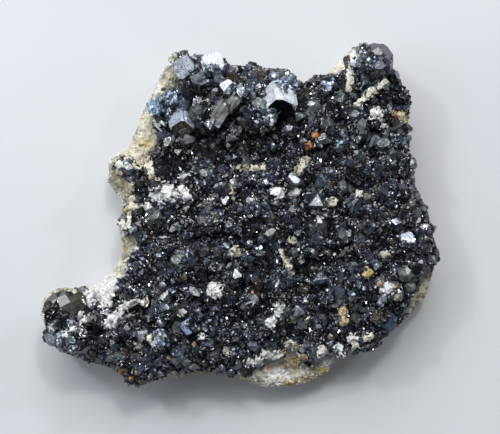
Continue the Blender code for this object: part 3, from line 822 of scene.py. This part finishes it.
CRYSTAL_FINISH = {
    "galena_top": "painted sheen galena", "galena_top_middle": "bright galena",
    "galena_stepped": "bright galena", "galena_right": "bright galena",
    "galena_left_cube": "blue galena", "galena_inner": "blue galena",
    "galena_lower_cube": "painted sheen blue galena", "galena_blue": "deep blue galena",
    "galena_striped": "deep blue galena", "galena_lower_right": "deep blue galena",
}
# Painted shade: on these crystals the faces turned towards -y, away from the top lamps, take a dark
# finish.
PAINTED_SHADE_FACES = {"galena_top": "black painted shade", "galena_lower_cube": "brown painted shade"}
LOW_FACE = -0.45
GALENA_FACES = {"cube": 0.98, "tetra": 1.50, "anti": 1.54}
BLOCK_FACES = {"cube": 1.0, "tetra": 1.54, "anti": 1.58}
BLOCKS = 8
BLOCK_SIZES = (0.45, 0.80)
OFF_MIDDLE = 0.6
BLOCK_STEP = 0.03
BLOCK_TURN = 0.05
GALENA_STEP_SCALE = 1100
GALENA_TILT = 0.24
GROWTH_LINES = 620
LINE_WANDER = 6.0
LINE_STRENGTH = 0.55


def galena_material(name, dark, light, gloss, metal=1.0):
    """Lead grey metal, duller in patches, with growth lines and low steps all over its faces."""
    made, nodes, links, shader = new_finish(name)
    patches = noise_node(nodes, 900, 5, 0.7)
    object_space(nodes, links, patches)
    base = ramp(nodes, links, patches.outputs["Fac"], [(0.35, dark), (0.65, light)])
    lines = nodes.new("ShaderNodeTexWave")
    lines.bands_direction = "DIAGONAL"
    lines.inputs["Scale"].default_value = GROWTH_LINES
    lines.inputs["Distortion"].default_value = LINE_WANDER
    object_space(nodes, links, lines)
    shades = ramp(nodes, links, lines.outputs["Fac"], [
        (0.15, (0.35, 0.37, 0.42)), (0.55, (1.0, 1.0, 1.0)),
    ])
    base = mixed(nodes, links, "MULTIPLY", LINE_STRENGTH, base, shades)
    links.new(base, shader.inputs["Base Color"])
    rough = spread_value(nodes, links, patches.outputs["Fac"], gloss, gloss + 0.15)
    links.new(rough, shader.inputs["Roughness"])
    shader.inputs["Metallic"].default_value = metal
    bump(nodes, links, shader, stepped_height(nodes, links, GALENA_STEP_SCALE), GALENA_TILT)
    return made


def crystal_axes(node):
    """The cube's three directions, its middle and its half width, read from the CAD crystal."""
    corners, triangles = mesh_arrays(node)
    a, b, c = (corners[triangles[:, i]] for i in range(3))
    cross = np.cross(b - a, c - a)
    area = np.linalg.norm(cross, axis=1)
    axes = []
    for index in np.argsort(-area):
        normal = cross[index] / area[index]
        if all(abs(normal @ axis) < SQUARE_ENOUGH for axis in axes):
            axes.append(normal)
        if len(axes) == 3:
            break
    axes = np.array(axes)
    if np.linalg.det(axes) < 0:
        axes[2] = -axes[2]
    spread = corners @ axes.T
    middle = ((spread.min(0) + spread.max(0)) / 2) @ axes
    return axes, middle, (spread.max(0) - spread.min(0)).mean() / 2


def galena_block(chance):
    """One block of a crystal, against a face or along an edge, in the crystal's directions."""
    share = chance.uniform(*BLOCK_SIZES)
    corners, sides = crystal_form(chance, BLOCK_FACES, 0.04)
    side = chance.choice([-1.0, 1.0], 3)
    side[chance.integers(3)] = chance.uniform(-OFF_MIDDLE, OFF_MIDDLE)
    if chance.random() < 0.5:
        side[chance.integers(3)] = chance.uniform(-OFF_MIDDLE, OFF_MIDDLE)
    small_turn = np.cross(np.eye(3), BLOCK_TURN * chance.uniform(-1, 1, 3)) + np.eye(3)
    step = BLOCK_STEP * chance.random()
    return (corners * share) @ small_turn + side * (1 - share + step), sides


galena_looks = {
    finish: galena_material(finish, *settings) for finish, settings in GALENA_FINISHES.items()
}
for index, name in enumerate(GALENA_NODES):
    chance = np.random.default_rng(40 + index)
    axes, middle, half = crystal_axes(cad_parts[name])
    shapes = [crystal_form(chance, GALENA_FACES, 0.02)]
    shapes += [galena_block(chance) for _ in range(BLOCKS)]
    bodies = [(inside_box(corners * half @ axes + middle), sides, 0) for corners, sides in shapes]
    look = galena_looks[CRYSTAL_FINISH.get(name, "dull galena")]
    crystal = joined(name + "_crystal", bodies, [look])
    # Painted shade: faces turned towards -y take the dark second finish.
    if name in PAINTED_SHADE_FACES:
        crystal.data.materials.append(galena_looks[PAINTED_SHADE_FACES[name]])
        for face in crystal.data.polygons:
            face.material_index = int(face.normal.y < LOW_FACE)
    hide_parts(name)
    dressed(crystal)
    large.append(crystal)


# The overgrowth: small sphalerite crystals that went on growing over one side of some galena
# crystals, so that only a part of each still shows.
# The middle of each one's overgrown side, in degrees from +x.
OVERGROWN = {
    "galena_blue": 200, "galena_striped": 60, "galena_right": 250, "galena_lower_right": 130,
    "galena_mound": 320,
}
OVERGROWTH = 14
OVERGROWTH_SPREAD = 1.4
OVERGROWTH_FROM_MIDDLE = (0.55, 1.15)
OVERGROWTH_RADII = (0.45, 1.0)
chance = np.random.default_rng(51)
covered_tree = tree_of(rock, crust, *druse, *large)
places = []
for name, bearing in OVERGROWN.items():
    _, middle, half = crystal_axes(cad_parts[name])
    turns = math.radians(bearing) + OVERGROWTH_SPREAD * chance.uniform(-1, 1, OVERGROWTH)
    for turn, away in zip(turns, half * chance.uniform(*OVERGROWTH_FROM_MIDDLE, OVERGROWTH)):
        x = middle[0] + away * math.cos(turn)
        y = middle[1] + away * math.sin(turn)
        places.append(on_top(covered_tree, x, y))
radii = chance.uniform(*OVERGROWTH_RADII, len(places)) * MM
overgrowth = grown(
    "overgrowth", sphalerite_forms, np.array(places), radii,
    [(stepped_looks[tint], FINE_SHARES[tint]) for tint in SPHALERITE_TINTS], chance, 0.3,
)
dressed(overgrowth)
large.append(overgrowth)


# The small galena crystals: cut cubes of 0.5 to 2 mm that grew singly between the sphalerite
# crystals and crowd together in bright clusters, most of them in the plate's upper half.
# Each cluster is ((x, y), reach, count).
GALENA_CLUSTERS = [
    ((12.8, 36.8), 3.4, 90), ((-9.4, 39.0), 3.4, 30), ((2.2, 34.6), 2.4, 24), ((6.1, 27.7), 3.0, 34),
    ((-21.4, -33.0), 2.4, 18), ((-20.0, 31.0), 4.5, 40), ((32.8, 42.0), 3.0, 24),
    ((27.9, 21.4), 2.4, 12), ((-49.0, -31.0), 3.0, 16), ((33.0, -19.0), 3.5, 16),
    ((42.5, 19.2), 3.0, 26), ((24.0, 35.8), 1.7, 9), ((3.4, -8.4), 3.0, 14),
    ((-9.0, -30.0), 4.0, 18),
]
CLUSTER_RADII = (0.35, 0.95)
SINGLE_TRIES = 450
SINGLE_RADII = (0.25, 0.65)
galena_forms = crystal_forms(
    9, 0.08, 5, {"cube": 0.66, "tetra": 0.80, "anti": 0.82}, {"cube": 0.62, "tetra": 0.92},
)
top_tree = tree_of(rock, crust, *druse, *large)


def scattered(tree, spots, chance, heap=0.0):
    """Points on top of the front, in round spots of ((x, y), reach, count), heaped in the middle."""
    points = []
    for (x, y), reach, count in spots:
        for away in chance.normal(0, 0.5, (count, 2)):
            away /= max(np.linalg.norm(away), 1.0)
            top = on_top(tree, (x + away[0] * reach) * MM, (y + away[1] * reach) * MM)
            height = heap * reach * max(1 - away @ away, 0) * chance.random() * MM
            if top is not None:
                points.append(top + Vector((0, 0, height)))
    return np.array(points)


chance = np.random.default_rng(12)
clusters = scattered(top_tree, GALENA_CLUSTERS, chance)
singles = druse_places(SINGLE_TRIES, 14)[0]
singles = singles[~past_outline(singles, np.full(len(singles), RIM_RADIUS))]
places = np.concatenate([clusters, singles])
radii = np.concatenate([
    chance.uniform(*CLUSTER_RADII, len(clusters)), chance.uniform(*SINGLE_RADII, len(singles)),
]) * MM
looks = [
    (galena_looks["bright galena"], 0.5), (galena_looks["blue galena"], 0.25),
    (galena_looks["dull galena"], 0.25),
]
small_galena = grown("small_galena", galena_forms, places, radii, looks, chance)
dressed(small_galena)


# The pale masses: sugary carbonate and quartz that grew last, in patches and ridges over the
# dark crystals, and that creep up from the bare rock over the crust's left edge. Their grains
# are under 1 mm and grown into each other.
def ridge(start, end, reach, count):
    """Patches in a row from start to end, as a low wall of grains."""
    along = np.linspace(0, 1, count)[:, None]
    middles = np.array(start) * (1 - along) + np.array(end) * along
    return [(tuple(middle), reach) for middle in middles.tolist()]


WHITE_PATCHES = [
    ((-22.8, 5.8), 2.2), ((-20.4, 7.4), 2.2), ((-19.0, 5.8), 1.9), ((-16.0, 6.8), 1.7),
    ((-14.5, 4.8), 1.4), ((-15.2, 2.4), 1.0), ((-8.1, 4.2), 1.2), ((2.2, 4.8), 1.0),
    ((10.4, 6.5), 1.7), ((8.6, 7.2), 1.2), ((15.1, 6.8), 1.1), ((21.0, -0.9), 1.1),
    ((-7.2, -19.9), 2.3), ((10.2, -24.0), 1.6), ((10.0, -26.5), 1.4), ((8.0, -28.4), 1.4),
    ((-43.2, -28.2), 1.4), ((-45.3, -30.2), 1.1), ((-47.6, -31.6), 1.2), ((-51.6, -29.9), 1.3),
    ((-16.2, -25.9), 1.3), ((-10.8, -32.5), 1.0), ((39.3, -19.7), 2.0), ((-29.0, -8.6), 1.0),
    ((36.4, 27.5), 2.0), ((38.5, 24.4), 1.2), ((-25.5, 2.8), 1.2), ((13.5, -36.0), 1.6),
    ((24.6, -39.6), 2.2), ((22.4, -37.6), 1.7), ((27.4, -38.6), 1.7), ((26.4, -35.8), 1.4),
    ((-43.6, -26.4), 0.9), ((29.0, -4.5), 0.9), ((-26.6, 41.6), 1.6), ((5.0, -39.5), 1.7),
    ((8.4, -38.4), 1.7), ((6.4, -37.2), 1.3),
]
for wall in (
    ((-38.6, -16.0), (-41.0, -22.0), 2.2, 4), ((7.0, 29.8), (8.4, 24.4), 0.7, 5),
    ((-35.6, -18.4), (-37.4, -23.6), 2.0, 4), ((-36.8, -29.4), (-31.4, -23.8), 1.3, 5),
    ((-31.0, -24.2), (-28.4, -22.6), 1.0, 3),
):
    WHITE_PATCHES += ridge(*wall)
CREAM_PATCHES = [
    ((-30.2, 3.2), 1.4), ((-27.9, -34.9), 1.2), ((-25.0, -32.4), 1.2), ((-20.8, 38.0), 1.9),
    ((-22.8, 34.8), 1.7), ((-26.5, 22.0), 1.8), ((-25.8, 18.4), 1.9), ((-27.6, 14.5), 1.8),
    ((-34.0, 9.0), 1.8), ((-33.4, 4.6), 1.6), ((-32.6, -2.6), 1.8), ((-32.0, -6.4), 1.9),
    ((-31.8, -10.2), 1.9), ((-33.0, -14.0), 1.8), ((-30.5, 8.2), 1.5), ((42.6, -22.0), 1.3),
    ((47.5, -22.5), 1.4), ((22.0, -36.5), 1.4), ((24.7, 4.0), 1.3), ((34.2, -15.2), 1.6),
    ((13.9, -6.2), 1.2), ((-1.6, -9.3), 1.5), ((38.8, -10.4), 1.2), ((32.0, 6.2), 1.2),
    ((43.6, 27.6), 1.8), ((30.2, -33.2), 1.6), ((34.4, -32.6), 1.4), ((31.2, -35.2), 1.2),
    ((-4.0, -36.6), 1.3), ((10.0, -37.6), 1.4), ((14.6, -38.2), 1.6), ((-31.2, 16.4), 1.3),
    ((-33.2, 14.2), 1.3), ((-33.6, 11.8), 1.3), ((-28.6, 16.8), 1.2), ((-31.6, 7.2), 1.4),
    ((-30.2, 4.8), 1.3), ((13.0, -34.6), 1.5), ((2.2, -40.0), 1.4),
]
for wall in (
    ((38.6, 36.2), (31.4, 30.6), 1.0, 7), ((30.4, 44.6), (29.2, 34.8), 1.1, 7),
    ((-0.6, 13.3), (6.0, 13.4), 0.9, 5), ((17.6, 15.6), (15.0, 12.2), 1.2, 4),
    ((10.8, -9.6), (13.6, -15.0), 0.9, 5), ((-2.4, 9.4), (-2.4, 5.0), 0.7, 4),
    ((-33.6, 1.4), (-28.6, 2.8), 0.8, 6), ((-24.8, 26.6), (-26.4, 24.0), 1.3, 3),
    ((-25.6, 15.6), (-24.4, 12.4), 1.1, 4), ((-30.6, 1.0), (-30.4, -2.6), 0.7, 4),
    ((-21.6, 41.0), (-19.6, 43.6), 1.5, 4), ((-20.2, 40.0), (-18.6, 43.8), 0.9, 4),
):
    CREAM_PATCHES += ridge(*wall)
# A thin cream line around the lobe's large crystal.
LOBE_LINE_TURNS = np.linspace(math.radians(60), math.radians(215), 24)
LOBE_LINE_PLACE = 0.93
LOBE_LINE_REACH = 0.5
(lobe_x, lobe_y), (lobe_width, lobe_height, _) = LOBE_CRYSTAL
LOBE_LINE = [
    ((
        lobe_x + LOBE_LINE_PLACE * lobe_width * math.cos(turn),
        lobe_y + LOBE_LINE_PLACE * lobe_height * math.sin(turn),
    ), LOBE_LINE_REACH)
    for turn in LOBE_LINE_TURNS
]
MASS_NET = 0.20 * MM
MASS_KNOBS = (0.45 * MM, 0.16 * MM)
MASS_GRAIN = (0.25 * MM, 0.06 * MM)
MASS_GRAIN_RADII = (0.18, 0.42)
GRAINS_PER_SQUARE = 10.0
HEAP = 0.35


def sugary_mass(name, patches, look, seed, core=0.0):
    """Grains grown together on top of the crystals; each patch is ((x, y), reach).

    A core is one lump in the middle of each patch, as a share of its reach.
    """
    chance = np.random.default_rng(seed)
    spots = [
        (place, reach * (1 - core / 2), int(GRAINS_PER_SQUARE * math.pi * reach ** 2))
        for place, reach in patches
    ]
    places = scattered(top_tree, spots, chance, HEAP)
    radii = chance.uniform(*MASS_GRAIN_RADII, len(places)) * MM
    if core:
        middles = scattered(top_tree, [(place, 0, 1) for place, _ in patches], chance)
        places = np.concatenate([places, middles])
        radii = np.concatenate([radii, [reach * core * MM for _, reach in patches]])
    mass = grown(name, block_forms, places, radii, [(look, 1)], chance)
    recast(mass, MASS_NET)
    roughen(mass, MASS_KNOBS, MASS_GRAIN)
    mass.data.materials.clear()
    mass.data.materials.append(look)
    mass.data.shade_smooth()
    marked(mass)
    dressed(mass)


sugary_mass("white_masses", WHITE_PATCHES, white_look, 31)
sugary_mass("cream_masses", CREAM_PATCHES + LOBE_LINE, rock_look, 34)


# The rust and gold grains: small lumps of the same sugary carbonate, which iron in the water
# stained after they grew, in a few spots on the crust and at the foot.
RUST_PATCHES = [
    ((20.0, 22.1), 1.4), ((18.3, 19.2), 1.5), ((42.0, 27.6), 1.4), ((51.1, -16.4), 0.9),
    ((41.8, -18.8), 0.9), ((-33.0, -42.4), 1.0), ((-30.0, -44.0), 0.9),
]
GOLD_PATCHES = [
    ((27.6, -25.5), 1.9), ((27.8, -28.5), 1.8), ((15.1, -40.9), 1.9), ((14.0, -28.1), 1.0),
    ((2.9, -20.5), 0.7), ((-12.9, -34.6), 0.8), ((-19.7, -38.2), 0.8), ((-28.2, -42.0), 0.9),
    ((37.5, -18.0), 1.2), ((45.2, 26.6), 1.2), ((17.2, -38.4), 1.3), ((-27.6, 20.4), 1.3),
    ((-24.6, 10.6), 0.8), ((15.0, -35.6), 1.4), ((11.8, -37.0), 1.2),
]
rust_look = grain_material("rust grains", (0.10, 0.03, 0.01), (0.52, 0.22, 0.03), 0.35)
gold_look = grain_material("gold grains", (0.12, 0.08, 0.04), (0.58, 0.46, 0.26), 0.35)
sugary_mass("rust_masses", RUST_PATCHES, rust_look, 32, 0.7)
sugary_mass("gold_masses", GOLD_PATCHES, gold_look, 33, 0.6)


# The studio: a pale table, a camera straight above as the plate lies on its back, and soft lamps,
# the strongest beyond the plate's top edge. Three small lamps make the crystal faces sparkle.
PHOTO_PIXELS = (500, 434)
PIXEL = 0.2723 * MM
PHOTO_CENTRE = (241.5, 216.8)
LENS = 100.0
SENSOR = 36.0
FRONT_HEIGHT = 20 * MM
TABLE_WIDTH = 6.0


def table_material():
    """Matt pale grey paint, hardly uneven."""
    made, nodes, links, shader = new_finish("pale table")
    cloudy = noise_node(nodes, 6, 2)
    object_space(nodes, links, cloudy)
    tone = ramp(nodes, links, cloudy.outputs["Fac"], [
        (0.3, (0.56, 0.56, 0.57)), (0.7, (0.60, 0.60, 0.60)),
    ])
    links.new(tone, shader.inputs["Base Color"])
    shader.inputs["Roughness"].default_value = 0.7
    return made


bpy.ops.mesh.primitive_plane_add(size=TABLE_WIDTH, location=(0, 0, 0))
table = bpy.context.object
table.name = "table"
table.data.materials.append(table_material())

world = bpy.data.worlds.new("studio")
bpy.context.scene.world = world
world.use_nodes = True
background = world.node_tree.nodes["Background"]
background.inputs["Color"].default_value = (0.80, 0.88, 1.0, 1)
background.inputs["Strength"].default_value = 0.02


def lamp(name, bearing, height, distance, size, radiance, colour):
    """A square soft lamp that looks at the plate; bearing 0 is its top edge, 90 its right."""
    data = bpy.data.lights.new(name, "AREA")
    data.shape = "SQUARE"
    data.size = size
    data.energy = radiance * math.pi * size ** 2
    data.color = colour
    made = bpy.data.objects.new(name, data)
    bpy.context.scene.collection.objects.link(made)
    turn, rise = math.radians(bearing), math.radians(height)
    direction = Vector((
        math.sin(turn) * math.cos(rise), math.cos(turn) * math.cos(rise), math.sin(rise),
    ))
    made.location = direction * distance
    made.rotation_euler = (-direction).to_track_quat("-Z", "Y").to_euler()


lamp("top soft lamp", -14, 48, 0.85, 0.80, 3.9, (0.97, 0.985, 1.0))
lamp("left soft lamp", -85, 40, 0.80, 0.55, 1.9, (0.80, 0.89, 1.0))
lamp("right soft lamp", 75, 38, 0.80, 0.42, 1.0, (0.84, 0.92, 1.0))
lamp("low soft lamp", 180, 50, 0.85, 0.50, 0.7, (0.82, 0.90, 1.0))
lamp("top spark", 15, 62, 0.80, 0.08, 75.0, (0.96, 0.98, 1.0))
lamp("left spark", -50, 50, 0.80, 0.06, 95.0, (0.82, 0.91, 1.0))
lamp("right spark", 50, 40, 0.80, 0.06, 70.0, (0.82, 0.91, 1.0))

bpy.context.scene.view_settings.view_transform = "Standard"

camera_data = bpy.data.cameras.new("camera")
camera_data.lens = LENS
camera_data.sensor_width = SENSOR
camera = bpy.data.objects.new("camera", camera_data)
bpy.context.scene.collection.objects.link(camera)
bpy.context.scene.camera = camera
camera.location = (
    (PHOTO_PIXELS[0] / 2 - PHOTO_CENTRE[0]) * PIXEL,
    (PHOTO_CENTRE[1] - PHOTO_PIXELS[1] / 2) * PIXEL,
    FRONT_HEIGHT + LENS / SENSOR * PHOTO_PIXELS[0] * PIXEL,
)
camera.rotation_euler = (0, 0, 0)
